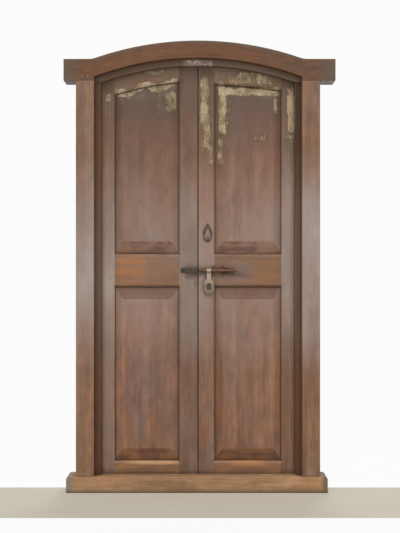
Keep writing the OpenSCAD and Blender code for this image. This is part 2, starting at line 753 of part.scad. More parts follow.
module keyhole_plate() color(iron) difference() {
  slab(leaf_front - key_plate_t, leaf_front) translate([key_x, key_plate_low]) pear(key_plate_r, key_tip);
  key_cut(0, leaf_front - key_plate_t - past, leaf_front + past);
  rod_y(key_x, cover_pivot_z, leaf_front - key_plate_t - past, leaf_front + past, rivet_r + run_gap);
  plate_pin_set(run_gap);
}
module keyhole_plate_pins() color(iron) plate_pin_set(0);

module keyhole_cover() color(worn_iron) difference() {
  union() {
    slab(cover_y0, cover_y1) {
      translate([key_x, cover_low]) pear(cover_r, cover_pivot_z - cover_low + cover_eye_r);
      translate([key_x, cover_pivot_z]) circle(r = cover_eye_r);
    }
    translate([key_x, cover_y0, cover_low]) rotate([90, 0, 0])
      cylinder(r1 = cover_boss_r, r2 = cover_boss_r * 0.6, h = cover_boss_h);
  }
  rod_y(key_x, cover_pivot_z, cover_y0 - past, cover_y1 + past, rivet_r + run_gap);
}

module cover_rivet() color(iron) {
  rod_y(key_x, cover_pivot_z, cover_y0 - cover_gap, leaf_front + rivet_len, rivet_r);
  rod_y(key_x, cover_pivot_z, cover_y0 - cover_gap - rivet_head_h, cover_y0 - cover_gap, rivet_head_r);
}

module lock_screw_set(gap) for (p = lock_screws)
  screw(p[0], leaf_back + lock_d, p[1], screw_len + lock_d - lock_screw_sink, gap);

module bolt_bar_hole(x0, x1) box(x0, x1,
  bolt_bar_y - bolt_bar_t / 2 - slide_gap, bolt_bar_y + bolt_bar_t / 2 + slide_gap,
  bolt_bar_z - bolt_bar_h / 2 - slide_gap, bolt_bar_z + bolt_bar_h / 2 + slide_gap);

module lock_case() color(iron) difference() {
  union() {
    difference() {
      box(lock_x0, lock_x1, leaf_back, leaf_back + lock_d, lock_z0, lock_z1);
      box(lock_x0 + lock_wall, lock_x1 - lock_wall, leaf_back - past, leaf_back + lock_d - lock_wall,
          lock_z0 + lock_wall, lock_z1 - lock_wall);
    }
    box(rib_x, rib_x + rib_t, leaf_back, leaf_back + lock_d,
        bolt_bar_z - bolt_bar_h, bolt_bar_z + bolt_bar_h);
    box(spring_lug_x, spring_lug_x + spring_lug_w, bolt_bar_y - spring_w / 2, leaf_back + lock_d,
        bolt_bar_z + bolt_bar_h / 2 + spring_lug_up, lock_z1);
  }
  bolt_bar_hole(lock_x0 - past, lock_x0 + lock_wall + past);
  bolt_bar_hole(rib_x - past, rib_x + rib_t + past);
  key_cut(0, leaf_back + lock_d - lock_wall - past, leaf_back + lock_d + past);
  lock_screw_set(run_gap);
  spring_strip(joint_gap);
}

// Bowed flat spring that bears on the bolt and is held in the lug of the case
module spring_strip(gap)
  slab(bolt_bar_y - spring_w / 2 - gap, bolt_bar_y + spring_w / 2 + gap) intersection() {
    translate([spring_x, bolt_bar_z + bolt_bar_h / 2 + spring_r + spring_touch]) difference() {
      circle(r = spring_r + gap, $fn = spring_fn);
      circle(r = spring_r - spring_t - gap, $fn = spring_fn);
    }
    translate([spring_x - spring_tail, bolt_bar_z])
      square([spring_lug_x + spring_lug_w - spring_x + spring_tail, spring_reach]);
  }

module lock_spring() color(worn_iron) difference() {
  spring_strip(0);
  box(rib_x - slide_gap, rib_x + rib_t + slide_gap, leaf_back, bolt_bar_y,
      bolt_bar_z, bolt_bar_z + spring_reach);
}

module lock_bolt() color(worn_iron)
  box(bolt_bar_x0, bolt_bar_x1, bolt_bar_y - bolt_bar_t / 2, bolt_bar_y + bolt_bar_t / 2,
      bolt_bar_z - bolt_bar_h / 2, bolt_bar_z + bolt_bar_h / 2);

module lock_screws_set() color(iron) lock_screw_set(0);

module strike_screw_set(gap) for (p = strike_screws)
  screw(p[0], leaf_back + strike_wall, p[1], screw_len, gap);

module lock_strike() color(iron) on_side(-1) difference() {
  union() {
    box(strike_x0, strike_x0 + strike_w, leaf_back, leaf_back + lock_d,
        bolt_bar_z - strike_h / 2, bolt_bar_z + strike_h / 2);
    box(strike_x0, strike_x0 + strike_w, leaf_back, leaf_back + strike_wall,
        bolt_bar_z - strike_h / 2 - strike_foot, bolt_bar_z + strike_h / 2 + strike_foot);
  }
  box(strike_x0 - past, strike_x0 + strike_w - strike_wall,
      leaf_back - past, leaf_back + lock_d - strike_wall,
      bolt_bar_z - strike_h / 2 + strike_wall, bolt_bar_z + strike_h / 2 - strike_wall);
  strike_screw_set(run_gap);
}
module strike_screws_set() color(iron) on_side(-1) strike_screw_set(0);

head();
left_jamb();
right_jamb();
sill();
frame_pegs();
left_hanging_stile();
left_meeting_stile();
left_top_rail();
left_lock_rail();
left_bottom_rail();
left_upper_panel();
left_lower_panel();
left_leaf_pegs();
right_hanging_stile();
right_meeting_stile();
right_top_rail();
right_lock_rail();
right_bottom_rail();
right_upper_panel();
right_lower_panel();
right_leaf_pegs();
left_low_jamb_plate();
left_mid_jamb_plate();
left_high_jamb_plate();
right_low_jamb_plate();
right_mid_jamb_plate();
right_high_jamb_plate();
left_low_leaf_plate();
left_mid_leaf_plate();
left_high_leaf_plate();
right_low_leaf_plate();
right_mid_leaf_plate();
right_high_leaf_plate();
left_hinge_pins();
right_hinge_pins();
left_jamb_screws();
right_jamb_screws();
left_leaf_screws();
right_leaf_screws();
bolt_rod();
bolt_hasp();
inner_bolt_guide();
outer_bolt_guide();
bolt_guide_nails();
bolt_keeper();
bolt_keeper_nails();
keyhole_plate();
keyhole_plate_pins();
keyhole_cover();
cover_rivet();
lock_case();
lock_spring();
lock_bolt();
lock_screws_set();
lock_strike();
strike_screws_set();
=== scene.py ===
import math
from types import SimpleNamespace

import bmesh
import bpy
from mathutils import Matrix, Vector


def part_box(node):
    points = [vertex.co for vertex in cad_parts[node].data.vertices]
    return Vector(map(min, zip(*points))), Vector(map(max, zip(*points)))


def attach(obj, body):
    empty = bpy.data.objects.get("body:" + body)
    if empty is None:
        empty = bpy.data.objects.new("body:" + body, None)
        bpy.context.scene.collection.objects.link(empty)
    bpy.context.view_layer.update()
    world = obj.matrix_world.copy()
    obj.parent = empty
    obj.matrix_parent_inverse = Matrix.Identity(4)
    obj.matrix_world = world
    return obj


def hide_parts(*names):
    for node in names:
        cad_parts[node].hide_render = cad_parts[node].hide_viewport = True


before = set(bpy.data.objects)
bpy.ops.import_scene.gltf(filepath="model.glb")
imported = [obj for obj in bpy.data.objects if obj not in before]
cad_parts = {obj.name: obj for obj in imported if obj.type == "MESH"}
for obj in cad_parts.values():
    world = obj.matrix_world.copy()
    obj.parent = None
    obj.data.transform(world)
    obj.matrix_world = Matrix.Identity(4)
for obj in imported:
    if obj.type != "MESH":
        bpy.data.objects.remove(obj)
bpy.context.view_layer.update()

# Jambs
# Two square posts of old hardwood, each cut from one baulk with a step, a stop and a rebate down
# its inner side. They are tenoned into the sill and the head, and their arrises are worn round.
SAME_SPOT = 1e-5
FLAT_BEND = math.radians(0.5)
BORE_REACH = 0.6
FASTENERS = ["frame_pegs", "left_leaf_pegs", "right_leaf_pegs", "left_jamb_screws", "right_jamb_screws",
             "left_leaf_screws", "right_leaf_screws", "bolt_guide_nails", "bolt_keeper_nails",
             "keyhole_plate_pins", "cover_rivet", "lock_screws_set", "strike_screws_set"]
BOARD_STEP = (31.0, 17.0, 23.0)
SWAY = (0.045, 0.045, 0.045)
HAND_HEIGHT, BLOOM_SHEEN_CORE = 1.14, 0.12
CORNER_REACH = 0.035
JAMB_WEAR, STOP_EDGE = 0.0026, 0.5205


def joined_up(node):
    """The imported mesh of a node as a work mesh, with its split points joined."""
    work = bmesh.new()
    work.from_mesh(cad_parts[node].data)
    bmesh.ops.remove_doubles(work, verts=work.verts, dist=SAME_SPOT)
    return work


def islands(node):
    """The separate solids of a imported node, as (middle, size)."""
    work = joined_up(node)
    seen, found = set(), []
    for first in work.verts:
        if first in seen:
            continue
        seen.add(first)
        waiting, points = [first], []
        while waiting:
            vert = waiting.pop()
            points.append(vert.co.copy())
            for edge in vert.link_edges:
                other = edge.other_vert(vert)
                if other not in seen:
                    seen.add(other)
                    waiting.append(other)
        low = Vector([min(point[axis] for point in points) for axis in range(3)])
        high = Vector([max(point[axis] for point in points) for axis in range(3)])
        found.append(((low + high) / 2, high - low))
    work.free()
    return found


BORES = [(middle.x, middle.z, size.x * BORE_REACH)
         for node in FASTENERS for middle, size in islands(node)]


def worn(node, wear, board=0.0, bend=math.radians(24), shape=None, depth=1.0, crease=math.radians(20)):
    """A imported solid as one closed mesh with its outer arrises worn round. board sets its own grain and
    depth its own shade; shape may move its points first, and returns a test for what stays crisp."""
    work = joined_up(node)
    bmesh.ops.dissolve_limit(work, angle_limit=FLAT_BEND, verts=work.verts, edges=work.edges)
    crisp = shape(work) if shape else lambda edge: False

    def at_bore(edge):
        spot = (edge.verts[0].co + edge.verts[1].co) / 2
        return any(math.hypot(spot.x - x, spot.z - z) < reach for x, z, reach in BORES)

    arrises = [edge for edge in work.edges
               if edge.is_manifold and edge.is_convex and edge.calc_face_angle() > bend
               and not at_bore(edge) and not crisp(edge)]
    rub = work.faces.layers.float.new("rub")
    piece_of = work.faces.layers.float.new("board")
    shade_of = work.faces.layers.float.new("depth")
    cut = bmesh.ops.bevel(work, geom=arrises, offset=wear, segments=2, profile=0.6, affect="EDGES",
                          clamp_overlap=False)
    for face in work.faces:
        face[piece_of] = board
        face[shade_of] = depth
    for face in cut["faces"]:
        face[rub] = 1.0
    mesh = bpy.data.meshes.new(node + "_worn")
    work.to_mesh(mesh)
    work.free()
    mesh.polygons.foreach_set("use_smooth", [True] * len(mesh.polygons))
    mesh.set_sharp_from_angle(angle=crease)
    piece = bpy.data.objects.new(node + "_worn", mesh)
    bpy.context.scene.collection.objects.link(piece)
    return piece


def fitted(piece, node, stuff, body):
    """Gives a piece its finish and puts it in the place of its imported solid."""
    piece.data.materials.clear()
    piece.data.materials.append(stuff)
    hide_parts(node)
    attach(piece, body)


def tone(red, green, blue):
    """A colour as seen on screen, in 0 to 255, as the linear colour a socket takes."""
    def linear(level):
        level /= 255
        return level / 12.92 if level <= 0.04045 else ((level + 0.055) / 1.055) ** 2.4

    return (linear(red), linear(green), linear(blue), 1.0)


def put(tree, kind, *given, **settings):
    """Adds one shader node; given are sockets or values for its inputs in order, and None skips one."""
    new = tree.nodes.new("ShaderNode" + kind)
    for key, value in settings.items():
        setattr(new, key, value)
    for socket, value in zip(new.inputs, given):
        if isinstance(value, bpy.types.NodeSocket):
            tree.links.new(value, socket)
        elif value is not None:
            socket.default_value = value
    return new


def sums(tree, way, first, second=0.0, third=None):
    """One step of arithmetic on sockets or values."""
    return put(tree, "Math", first, second, third, operation=way).outputs[0]


def times(tree, first, second):
    """The product of two sockets or values."""
    return sums(tree, "MULTIPLY", first, second)


def apart(tree, value, middle):
    """How far a value is from a middle, either way."""
    return sums(tree, "ABSOLUTE", sums(tree, "SUBTRACT", value, middle))


def ease(tree, value, start, end, low=0.0, high=1.0):
    """Goes smoothly from low to high while value goes from start to end."""
    if start > end:
        start, end, low, high = end, start, high, low
    return put(tree, "MapRange", value, start, end, low, high, interpolation_type="SMOOTHSTEP").outputs[0]


def cloud(tree, place, stretch, detail=3.0, rough=0.55):
    """Noise with so many lumps to the metre along each axis."""
    spread = put(tree, "VectorMath", place, stretch, operation="MULTIPLY").outputs[0]
    return put(tree, "TexNoise", spread, None, 1.0, detail, rough).outputs[0]


def mingle(tree, share, first, second):
    """Goes from the first colour to the second as share goes from 0 to 1."""
    new = put(tree, "Mix", share, data_type="RGBA", blend_type="MIX")
    for socket, value in ((new.inputs[6], first), (new.inputs[7], second)):
        if isinstance(value, bpy.types.NodeSocket):
            tree.links.new(value, socket)
        else:
            socket.default_value = value
    return new.outputs[2]


def shaded(tree, colour, factor):
    """A colour made darker or lighter by a factor."""
    return put(tree, "VectorMath", colour, None, None, factor, operation="SCALE").outputs[0]


def blank(name):
    """An empty finish, with its node tree and the socket that tells the place on the piece."""
    stuff = bpy.data.materials.new(name)
    stuff.use_nodes = True
    tree = stuff.node_tree
    tree.nodes.clear()
    return stuff, tree, put(tree, "TexCoord").outputs["Object"]


def closed(tree, colour, rough, height, strength, relief):
    """Closes a finish with one surface of that colour, roughness and relief, and returns the surface."""
    bump = put(tree, "Bump", strength, relief)
    tree.links.new(height, bump.inputs["Height"])
    skin = put(tree, "BsdfPrincipled")
    for name, value in (("Base Color", colour), ("Roughness", rough), ("Normal", bump.outputs[0])):
        tree.links.new(value, skin.inputs[name])
    put(tree, "OutputMaterial", skin.outputs[0])
    return skin


def old_timber(name, along, brown, pale, dark, grey, red, place_of=None):
    """Starts a timber finish: bands, fine grain, pores and drying checks that run along one axis."""
    brown, pale, dark, grey, red = (tone(*hue) for hue in (brown, pale, dark, grey, red))
    stuff, tree, flat = blank(name)
    x, y, z = put(tree, "SeparateXYZ", flat).outputs
    coords = place_of(tree, x, y, z) if place_of else flat
    board = put(tree, "Attribute", attribute_name="board").outputs["Fac"]
    coords = put(tree, "VectorMath", board, BOARD_STEP, coords, operation="MULTIPLY_ADD").outputs[0]

    def run(across, length):
        """So many lumps to the metre across the grain and along it."""
        return tuple(length if axis == along else across for axis in "XYZ")

    drift = put(tree, "VectorMath", coords, run(3.0, 1.3), operation="MULTIPLY").outputs[0]
    sway = put(tree, "TexNoise", drift, None, 1.0, 2.0).outputs[1]
    sway = put(tree, "VectorMath", sway, (0.5, 0.5, 0.5), operation="SUBTRACT").outputs[0]
    coords = put(tree, "VectorMath", sway, SWAY, coords, operation="MULTIPLY_ADD").outputs[0]
    bands = cloud(tree, coords, run(24.0, 0.8))
    grain = cloud(tree, coords, run(210.0, 5.0), 4.0, 0.65)
    pores = ease(tree, cloud(tree, coords, run(620.0, 16.0), 2.0), 0.60, 0.72)
    blotch = cloud(tree, coords, run(4.2, 1.9), 4.0, 0.6)
    line = apart(tree, cloud(tree, coords, run(15.0, 0.02), 2.0), 0.5)
    check = times(tree, ease(tree, line, 0.0055, 0.001),
                  ease(tree, cloud(tree, coords, run(9.0, 2.2), 2.0), 0.58, 0.66))
    smoky = cloud(tree, coords, run(7.0, 1.5), 4.0, 0.6)
    colour = mingle(tree, ease(tree, bands, 0.34, 0.68), brown, pale)
    colour = mingle(tree, ease(tree, blotch, 0.50, 0.72, 0.0, 0.60), colour, dark)
    colour = mingle(tree, ease(tree, smoky, 0.50, 0.70, 0.0, 0.55), colour, grey)
    colour = shaded(tree, colour, ease(tree, grain, 0.28, 0.74, 0.84, 1.13))
    colour = shaded(tree, colour, ease(tree, pores, 0.0, 1.0, 1.0, 0.78))
    colour = shaded(tree, colour, ease(tree, check, 0.0, 1.0, 1.0, 0.68))
    mottle = cloud(tree, coords, run(26.0, 11.0), 5.0, 0.65)
    colour = shaded(tree, colour, ease(tree, mottle, 0.30, 0.70, 0.80, 1.17))
    ruddy = cloud(tree, coords, run(9.0, 2.6), 3.0, 0.6)
    colour = mingle(tree, ease(tree, ruddy, 0.50, 0.72, 0.0, 0.50), colour, red)
    raised = sums(tree, "ADD", grain, times(tree, bands, 1.5))
    sunk = sums(tree, "ADD", times(tree, pores, 0.45), times(tree, check, 2.2))
    height = sums(tree, "SUBTRACT", raised, sunk)
    return SimpleNamespace(stuff=stuff, tree=tree, x=x, z=z, flat=flat, bands=bands, blotch=blotch,
                           colour=colour, height=height)


def tinted(wood, share, hue):
    """Turns a finish towards a hue, where and as far as share says."""
    wood.colour = mingle(wood.tree, share, wood.colour, tone(*hue) if isinstance(hue, tuple) else hue)


def bloom_and_sheen(wood, bloom_sheen_hue, most, middle=HAND_HEIGHT, reach=0.60):
    """A grey band at hand height that fades to the warmer timber above and below: partly a worn bloom,
    partly a painted sheen standing in for the reflection of light at eye level.
    """
    tree = wood.tree
    near = ease(tree, apart(tree, wood.z, middle), reach, BLOOM_SHEEN_CORE)
    share = times(tree, near, ease(tree, wood.blotch, 0.25, 0.62, 1.0, 0.45))
    tinted(wood, times(tree, share, most), bloom_sheen_hue)


def oiled(wood, polished=0.46, dry=0.66, corner_shade=0.75, dull=0.0):
    """Closes a timber finish: rubbed arrises, painted shade that darkens the corners and creases, grain
    relief, and a sheen that follows the bands and is lost where the timber is dull."""
    tree = wood.tree
    colour = shaded(tree, wood.colour, put(tree, "Attribute", attribute_name="depth").outputs["Fac"])
    rub = put(tree, "Attribute", attribute_name="rub").outputs["Fac"]
    rubbed = times(tree, rub, ease(tree, wood.blotch, 0.40, 0.62, 0.06, 0.30))
    colour = mingle(tree, rubbed, colour, tone(160, 124, 96))
    # Painted shade: ambient occlusion darkens corners, creases and gaps towards a dark brown.
    corner = put(tree, "AmbientOcclusion", None, CORNER_REACH, samples=6).outputs["AO"]
    colour = mingle(tree, ease(tree, corner, 0.93, 0.42, 0.0, corner_shade), colour, tone(58, 38, 24))
    rough = ease(tree, wood.bands, 0.3, 0.7, polished, dry)
    skin = closed(tree, colour, rough, wood.height, strength=0.55, relief=0.0011)
    tree.links.new(ease(tree, dull, 0.0, 1.0, 0.35, 0.22), skin.inputs["Specular IOR Level"])
    return wood.stuff


jamb_wood = old_timber("jamb_timber", "Z", brown=(112, 77, 54), pale=(136, 100, 72), dark=(100, 68, 48),
                       grey=(118, 96, 80), red=(124, 78, 50))
tree = jamb_wood.tree
bloom_and_sheen(jamb_wood, (160, 149, 145), 0.90)
# The recessed stops are stained dark brown, a colour that also paints in the shade of their recess; the
# right stop darkens further towards its top, a painted shade.
on_stop = ease(tree, sums(tree, "ABSOLUTE", jamb_wood.x), STOP_EDGE + 0.001, STOP_EDGE - 0.002)
from_hand = apart(tree, jamb_wood.z, HAND_HEIGHT)
tinted(jamb_wood, times(tree, on_stop, ease(tree, from_hand, 0.25, 0.60, 0.83, 0.87)), (78, 46, 22))
right_stop = times(tree, on_stop, ease(tree, jamb_wood.x, 0.3, 0.5))
tinted(jamb_wood, times(tree, right_stop, ease(tree, jamb_wood.z, 1.35, 1.95, 0.0, 0.75)), (43, 27, 7))
jamb_finish = oiled(jamb_wood, dull=on_stop)
for node, board, depth in (("left_jamb", 0.13, 0.96), ("right_jamb", 0.71, 0.94)):
    fitted(worn(node, JAMB_WEAR, board, depth=depth), node, jamb_finish, "frame")

# Arched head
# One thick plank sawn to a segmental arch with straight horns that run past the jambs.
# Its grain follows the curve; the sawn ends of the horns and the top edge have gone grey.
ARCH_R, ARCH_TOP, ARCH_Z, ARCH_END = 1.485, 1.568, 0.69205, 0.54
GREY_FROM, GREY_TO = 0.105, 0.020
HEAD_WEAR = 0.0028


def along_arch(tree, x, y, z):
    """Height above the arch line, so that the grain bends with the band and runs level in the horns."""
    inner = sums(tree, "MINIMUM", sums(tree, "ABSOLUTE", x), ARCH_END)
    rise = sums(tree, "SQRT", sums(tree, "SUBTRACT", ARCH_R ** 2, times(tree, inner, inner)))
    return put(tree, "CombineXYZ", x, y, sums(tree, "SUBTRACT", z, rise)).outputs[0]


head_wood = old_timber("head_timber", "X", brown=(84, 51, 26), pale=(103, 65, 36), dark=(68, 43, 26),
                       grey=(82, 57, 38), red=(96, 52, 24), place_of=along_arch)
tree = head_wood.tree
above_axis = sums(tree, "SUBTRACT", head_wood.z, ARCH_Z)
from_axis = put(tree, "CombineXYZ", head_wood.x, 0.0, above_axis).outputs[0]
radius = put(tree, "VectorMath", from_axis, operation="LENGTH").outputs[1]
aside = sums(tree, "ABSOLUTE", head_wood.x)
low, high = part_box("head")
top_edge = times(tree, ease(tree, radius, ARCH_TOP - 0.020, ARCH_TOP), ease(tree, aside, 0.58, 0.48))
sawn_ends = sums(tree, "MAXIMUM", ease(tree, head_wood.x, low[0] + GREY_FROM, low[0] + GREY_TO),
                 ease(tree, head_wood.x, high[0] - GREY_FROM, high[0] - GREY_TO))
weathered = sums(tree, "MAXIMUM", top_edge, sawn_ends)
greyed = times(tree, weathered, ease(tree, head_wood.blotch, 0.30, 0.62, 0.74, 0.48))
tinted(head_wood, greyed, (82, 72, 62))
# The inner step under the arch is a lighter greyish brown, partly its own colour and partly painted light
# against the shade it lies in; close under the head it darkens again, a painted shadow of the head.
on_step = ease(tree, radius, ARCH_R - 0.0005, ARCH_R - 0.003)
tinted(head_wood, times(tree, on_step, 0.85), (100, 74, 52))
head_shadow = ease(tree, radius, ARCH_R - 0.040, ARCH_R - 0.008, 0.0, 0.40)
tinted(head_wood, times(tree, head_shadow, on_step), (58, 40, 26))
crown = times(tree, ease(tree, radius, ARCH_R - 0.002, ARCH_R - 0.006), ease(tree, aside, 0.085, 0.055))
spots = ease(tree, cloud(tree, head_wood.flat, (60.0, 40.0, 60.0), 4.0), 0.50, 0.62)
spotted = mingle(tree, spots, tone(138, 124, 118), tone(190, 168, 142))
tinted(head_wood, times(tree, crown, ease(tree, spots, 0.0, 1.0, 0.60, 0.90)), spotted)
fitted(worn("head", HEAD_WEAR, 0.37), "head", oiled(head_wood, corner_shade=0.55), "frame")

# Sill
# A low plank under the jambs with short horns whose top corners are rounded, stepped at the back
# for the leaves. Feet have scuffed it to a dusty tan; its left end grain is grey, and its right end is
# darkened with painted shade.
SILL_WEAR = 0.0035
sill_wood = old_timber("sill_timber", "X", brown=(152, 115, 81), pale=(172, 137, 101), dark=(130, 97, 69),
                       grey=(146, 122, 94), red=(160, 106, 60))
low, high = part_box("sill")
# The left end turns grey; the right end is darkened, a painted shade.
for start, finish, hue in ((low[0] + 0.045, low[0] + 0.016, (120, 117, 104)),
                           (high[0] - 0.040, high[0] - 0.014, (92, 80, 70))):
    tinted(sill_wood, ease(sill_wood.tree, sill_wood.x, start, finish, 0.0, 0.8), hue)
tinted(sill_wood, ease(sill_wood.tree, sill_wood.z, 0.030, 0.004, 0.0, 0.55), (118, 98, 76))
fitted(worn("sill", SILL_WEAR, 0.52), "sill", oiled(sill_wood, 0.6, 0.8), "frame")

# Stiles
# Four upright members, one at the hinges and one at the meeting line of each leaf, grooved for the
# panels. The meeting edges are planed to a V, so the leaves show one dark line where they close.
LEAF_WEAR = 0.0016
MEETING_REACH, MEETING_HALF = 0.0005, 0.00005
STAIN_SOFT, HASP_PATCH_SOFT, PAINT_SOFT = 0.5, 0.6, 0.40
WANDER_ACROSS, WANDER_UP = 0.030, 0.045
WAVE_PITCH, WAVE_HEIGHT = 40.0, 0.011
PAINT_FULL, PAINT_NONE = 0.036, 0.040
TOP_SHADE_FROM, TOP_SHADE_FULL = 1.55, 2.02


def patch(tree, x, z, left, right, low, high, soft):
    """1 inside a box on the leaf's face and 0 outside; soft is the share of its half size that fades."""
    across = apart(tree, x, (left + right) / 2)
    up = apart(tree, z, (low + high) / 2)
    wide, tall = (right - left) / 2, (high - low) / 2
    return times(tree, ease(tree, across, wide * (1 + soft), wide * (1 - soft)),
                 ease(tree, up, tall * (1 + soft), tall * (1 - soft)))


def stained(wood, stains, within=1.0):
    """Tints soft boxes on the face of the leaf: left, right, low, high, the hue and how much of it."""
    tree = wood.tree
    for left, right, low, high, hue, most in stains:
        share = times(tree, patch(tree, wood.x, wood.z, left, right, low, high, STAIN_SOFT), within)
        tinted(wood, times(tree, share, most), hue)


# Each remnant of old cream paint: left, right, low, high, how much is left, its rise to the right.
PAINT = [
    (0.008, 0.054, 1.815, 2.112, 0.68, 0.0),
    (0.024, 0.066, 1.715, 1.880, 0.60, 0.0),
    (0.042, 0.076, 1.640, 1.755, 0.57, 0.0),
    (0.100, 0.142, 1.784, 2.089, 0.70, 0.0),
    (0.098, 0.126, 1.640, 1.790, 0.61, 0.0),
    (0.132, 0.168, 1.886, 2.018, 0.45, 0.0),
    (0.110, 0.426, 1.996, 2.044, 0.71, 0.0),
    (0.130, 0.416, 2.050, 2.126, 0.55, 0.0),
    (0.383, 0.404, 1.896, 2.008, 0.54, 0.0),
    (0.448, 0.506, 1.790, 2.070, 0.66, 0.0),
    (0.457, 0.492, 1.776, 1.800, 0.60, 0.0),
    (-0.450, -0.090, 2.064, 2.106, 0.69, 0.175),
    (-0.176, -0.102, 1.912, 2.030, 0.57, 0.0),
    (-0.470, -0.440, 1.965, 2.004, 0.68, 0.0),
    (-0.478, -0.434, 1.790, 2.050, 0.42, 0.0),
    (-0.285, -0.165, 2.146, 2.168, 0.60, 0.175),
    (0.272, 0.356, 1.762, 1.802, 0.50, 0.0),
    (0.004, 0.075, 1.640, 2.125, 0.455, 0.0),
    (0.098, 0.165, 1.640, 2.060, 0.440, 0.0),
    (0.110, 0.425, 1.975, 2.060, 0.450, 0.0),
    (0.440, 0.505, 1.690, 2.080, 0.475, 0.0),
    (-0.425, -0.095, 2.050, 2.112, 0.455, 0.175),
    (-0.230, -0.095, 1.880, 2.050, 0.440, 0.0),
    (-0.480, -0.430, 1.750, 2.060, 0.430, 0.0),
]
paint_left = bpy.data.node_groups.new("paint_left", "ShaderNodeTree")
for name, way, kind in (("Place", "INPUT", "NodeSocketVector"), ("Cover", "OUTPUT", "NodeSocketFloat"),
                        ("Halo", "OUTPUT", "NodeSocketFloat")):
    paint_left.interface.new_socket(name, in_out=way, socket_type=kind)
tree = paint_left
place = tree.nodes.new("NodeGroupInput").outputs[0]
x, y, z = put(tree, "SeparateXYZ", place).outputs
wander = put(tree, "TexNoise", place, None, 19.0, 4.0, 0.6).outputs[1]
shift = put(tree, "SeparateXYZ", wander).outputs
x = sums(tree, "ADD", x, times(tree, sums(tree, "SUBTRACT", shift[0], 0.5), WANDER_ACROSS))
z = sums(tree, "ADD", z, times(tree, sums(tree, "SUBTRACT", shift[2], 0.5), WANDER_UP))
flake = 0.0
for lumps, share in (((46.0, 20.0, 30.0), 0.46), ((120.0, 20.0, 10.0), 0.26),
                     ((210.0, 40.0, 150.0), 0.28)):
    flake = sums(tree, "MULTIPLY_ADD", cloud(tree, place, lumps, 5.0, 0.7), share, flake)
flake = sums(tree, "MULTIPLY_ADD", flake, 1.45, -0.225)
wave = times(tree, sums(tree, "SINE", times(tree, x, WAVE_PITCH)), WAVE_HEIGHT)
cover = 0.0
for left, right, low, high, amount, rise in PAINT:
    lifted = sums(tree, "SUBTRACT", z, sums(tree, "MULTIPLY_ADD", x, rise, wave)) if rise else z
    one = times(tree, patch(tree, x, lifted, left, right, low, high, PAINT_SOFT), amount)
    cover = sums(tree, "MAXIMUM", cover, one)
on_front = ease(tree, y, PAINT_NONE, PAINT_FULL)
halo = times(tree, ease(tree, cover, 0.02, 0.45), on_front)
cover = times(tree, ease(tree, sums(tree, "SUBTRACT", cover, flake), -0.13, 0.18), on_front)
paint_out = tree.nodes.new("NodeGroupOutput")
for socket, value in zip(paint_out.inputs, (cover, halo)):
    tree.links.new(value, socket)


def repainted(wood):
    """Lays the remnants of paint on a timber finish: ragged, a little raised, dirty at their edges."""
    tree = wood.tree
    lay = tree.nodes.new("ShaderNodeGroup")
    lay.node_tree = paint_left
    tree.links.new(wood.flat, lay.inputs[0])
    cover, halo = lay.outputs
    tinted(wood, times(tree, halo, 0.34), (80, 62, 34))
    aged = ease(tree, cloud(tree, wood.flat, (30.0, 30.0, 14.0), 4.0), 0.38, 0.62)
    skin = mingle(tree, aged, tone(128, 110, 76), tone(176, 152, 120))
    fleck = ease(tree, cloud(tree, wood.flat, (95.0, 60.0, 60.0), 4.0, 0.65), 0.54, 0.66, 0.0, 0.8)
    skin = mingle(tree, fleck, skin, tone(206, 190, 164))
    tinted(wood, ease(tree, cover, 0.0, 0.45, 0.0, 0.45), (92, 74, 52))
    tinted(wood, ease(tree, cover, 0.25, 1.0, 0.0, 0.84), skin)
    wood.height = sums(tree, "ADD", wood.height, times(tree, cover, 0.8))


def shadowed_top(wood, shade_hue, most):
    """Painted shade: darkens the top of the leaves towards a dusky hue, where the head shades them."""
    tinted(wood, times(wood.tree, ease(wood.tree, wood.z, TOP_SHADE_FROM, TOP_SHADE_FULL), most), shade_hue)


def close_meeting(work):
    """Brings the two back arrises of the meeting line together, to the thickness of a hair; they
    stay crisp, and so does the keyhole under its plate."""
    low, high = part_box("keyhole_plate")
    for vert in work.verts:
        if abs(vert.co.x) < MEETING_REACH:
            vert.co.x = math.copysign(MEETING_HALF, vert.co.x)

    def crisp(edge):
        spot = (edge.verts[0].co + edge.verts[1].co) / 2
        covered = low[0] < spot.x < high[0] and low[2] < spot.z < high[2]
        return covered or all(abs(vert.co.x) < MEETING_REACH for vert in edge.verts)

    return crisp


def both_leaves(kinds, wear, finish, slot, **ways):
    """Fits members to both leaves: kind, board, shade on the left and on the right, what shapes it."""
    for side, turn in (("left", 0.0), ("right", 0.5)):
        for kind, board, left_depth, right_depth, shape in kinds:
            node = side + "_" + kind
            depth = left_depth if side == "left" else right_depth
            piece = worn(node, wear, board + turn, shape=shape, depth=depth, **ways)
            fitted(piece, node, finish, side + "_leaf")


stile_wood = old_timber("stile_timber", "Z", brown=(116, 82, 60), pale=(136, 102, 78), dark=(100, 74, 58),
                        grey=(120, 104, 98), red=(134, 78, 44))
tree = stile_wood.tree
bloom_and_sheen(stile_wood, (158, 144, 136), 0.85, 1.16)
shadowed_top(stile_wood, (88, 68, 57), 0.62)
# A patchy darker olive smudge on the meeting stiles beside the hasp.
by_hasp = patch(tree, stile_wood.x, stile_wood.z, -0.02, 0.030, 1.035, 1.118, HASP_PATCH_SOFT)
by_hasp_darkened = times(tree, by_hasp, ease(tree, cloud(tree, stile_wood.flat, (40.0, 40.0, 30.0)), 0.40, 0.62))
tinted(stile_wood, times(tree, by_hasp_darkened, 0.75), (70, 62, 42))
stained(stile_wood, ((-0.52, -0.42, 0.10, 0.85, (126, 108, 97), 0.55),
                     (0.42, 0.52, 0.85, 1.55, (166, 154, 148), 0.20),
                     (0.42, 0.52, 0.08, 0.80, (104, 72, 46), 0.40),
                     (0.00, 0.09, 0.80, 1.50, (132, 92, 72), 0.35)))
repainted(stile_wood)
both_leaves((("hanging_stile", 0.21, 0.98, 0.89, None),
             ("meeting_stile", 0.67, 0.76, 0.88, close_meeting)),
            LEAF_WEAR, oiled(stile_wood), "leaf_timber")

